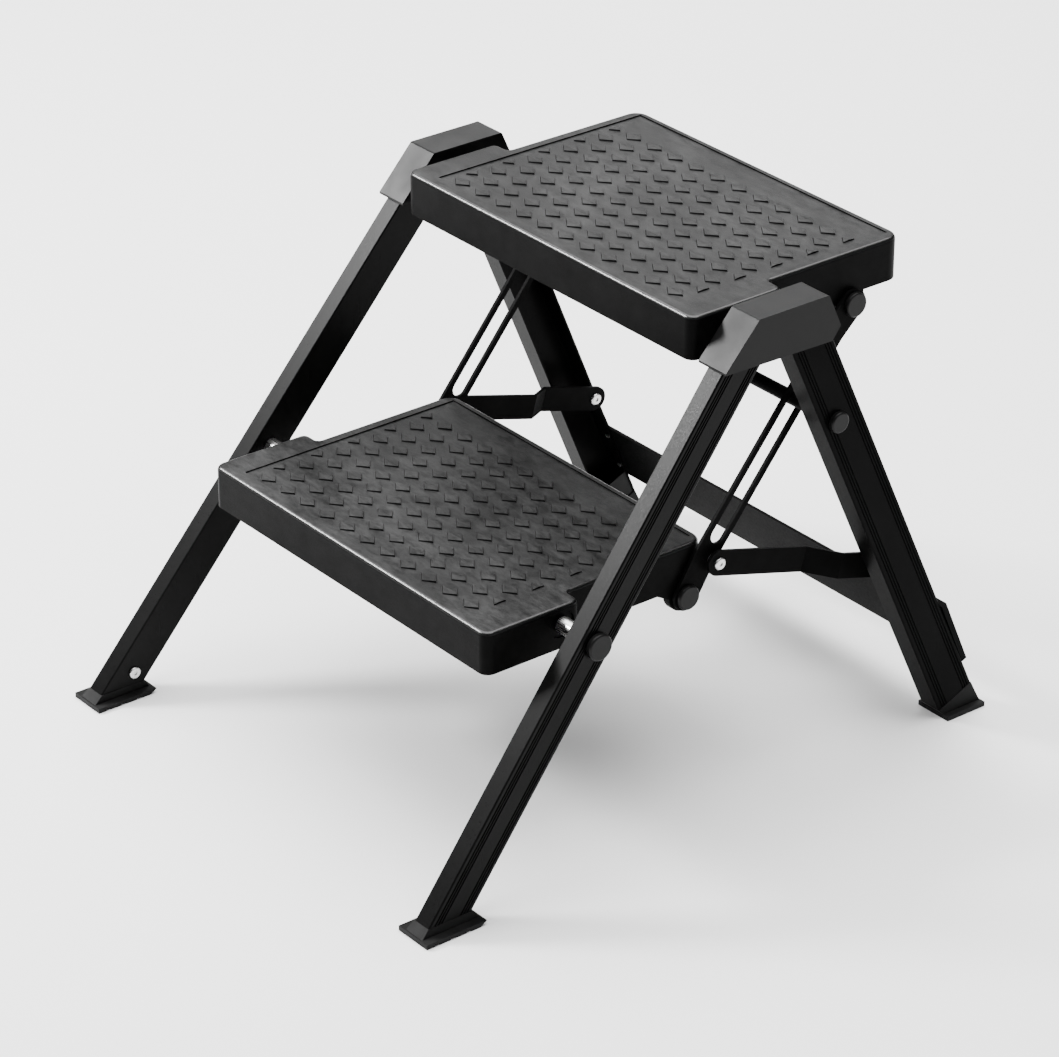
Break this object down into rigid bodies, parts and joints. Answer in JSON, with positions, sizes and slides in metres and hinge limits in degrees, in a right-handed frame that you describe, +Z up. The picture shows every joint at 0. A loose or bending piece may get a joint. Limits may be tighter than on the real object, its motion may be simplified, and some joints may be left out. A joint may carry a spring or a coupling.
{
  "type": "folding step stool",
  "caption": "Folding step stool with splayed tubular legs, ribbed black plastic treads on a parallel link and brace mechanism, side caps and plastic shoes.",
  "frame": {"origin": "on the floor, at the middle of the footprint of the four shoes", "axes": "+Z up; +X to the stool's right seen from behind its front edge looking back; -Y is the front, where one steps on; +Y is the rear"},
  "size_m": [0.5154, 0.62, 0.445],
  "materials": {
    "leg": "black satin",
    "cap": "black satin",
    "bright_steel": "bright",
    "shoe": "matte",
    "tread": "fine texture",
    "cover": "soft gloss",
    "dark_steel": "black satin"
  },
  "bodies": {
    "front_frame": {"front_leg_left": "leg", "front_leg_right": "leg", "front_shoe_left": "shoe", "front_shoe_right": "shoe", "top_cap_left": "cap", "top_cap_right": "cap", "lower_axle_left": "bright_steel", "lower_axle_right": "bright_steel", "upper_axle_left": "bright_steel", "upper_axle_right": "bright_steel", "lower_axle_cap_left": "cover", "lower_axle_cap_right": "cover", "fold_pin_left": "bright_steel", "fold_pin_right": "bright_steel", "shoe_screw_left": "bright_steel", "shoe_screw_right": "bright_steel"},
    "rear_frame": {"rear_leg_left": "leg", "rear_leg_right": "leg", "rear_shoe_left": "shoe", "rear_shoe_right": "shoe", "cross_plate": "dark_steel", "plate_rivets": "bright_steel", "cross_rod": "dark_steel", "rod_cap_left": "cover", "rod_cap_right": "cover"},
    "lower_step": {"lower_tread": "tread", "lower_link_washer_left": "bright_steel", "lower_link_washer_right": "bright_steel", "lower_link_pin_left": "bright_steel", "lower_link_pin_right": "bright_steel", "lower_link_cap_left": "cover", "lower_link_cap_right": "cover"},
    "upper_step": {"upper_tread": "tread", "upper_link_washer_left": "bright_steel", "upper_link_washer_right": "bright_steel", "upper_link_pin_left": "bright_steel", "upper_link_pin_right": "bright_steel", "upper_link_cap_left": "cover", "upper_link_cap_right": "cover"},
    "link_left": {"link_left": "dark_steel", "brace_spacer_left": "bright_steel", "brace_rivet_left": "bright_steel"},
    "brace_left": {"brace_left": "dark_steel", "brace_rear_rivet_left": "bright_steel"},
    "link_right": {"link_right": "dark_steel", "brace_spacer_right": "bright_steel", "brace_rivet_right": "bright_steel"},
    "brace_right": {"brace_right": "dark_steel", "brace_rear_rivet_right": "bright_steel"}
  },
  "joints": [
    {"name": "rear_frame_fold", "type": "hinge", "parent": "front_frame", "child": "rear_frame", "pos_m": [0, 0.1052, 0.4182], "axis": [-1, 0, 0], "range_deg": [0, 62.6]},
    {"name": "lower_step_fold", "type": "hinge", "parent": "front_frame", "child": "lower_step", "pos_m": [0, -0.1196, 0.205], "axis": [1, 0, 0], "range_deg": [0, 47.14]},
    {"name": "upper_step_fold", "type": "hinge", "parent": "front_frame", "child": "upper_step", "pos_m": [0, 0.0584, 0.424], "axis": [1, 0, 0], "range_deg": [0, 47.14]},
    {"name": "link_left_swing", "type": "hinge", "parent": "lower_step", "child": "link_left", "pos_m": [-0.1775, 0.0244, 0.176], "axis": [-1, 0, 0], "range_deg": [0, 47.14]},
    {"name": "brace_left_swing", "type": "hinge", "parent": "link_left", "child": "brace_left", "pos_m": [-0.1855, 0.0528, 0.2016], "axis": [-1, 0, 0], "range_deg": [0, 105.98]},
    {"name": "link_right_swing", "type": "hinge", "parent": "lower_step", "child": "link_right", "pos_m": [0.1775, 0.0244, 0.176], "axis": [-1, 0, 0], "range_deg": [0, 47.14]},
    {"name": "brace_right_swing", "type": "hinge", "parent": "link_right", "child": "brace_right", "pos_m": [0.1855, 0.0528, 0.2016], "axis": [-1, 0, 0], "range_deg": [0, 105.98]}
  ],
  "couplings": [
    {"joint": "lower_step_fold", "follows": "rear_frame_fold", "ratio": 0.753},
    {"joint": "upper_step_fold", "follows": "rear_frame_fold", "ratio": 0.753},
    {"joint": "link_left_swing", "follows": "rear_frame_fold", "ratio": 0.753},
    {"joint": "brace_left_swing", "follows": "rear_frame_fold", "ratio": 1.693},
    {"joint": "link_right_swing", "follows": "rear_frame_fold", "ratio": 0.753},
    {"joint": "brace_right_swing", "follows": "rear_frame_fold", "ratio": 1.693}
  ]
}
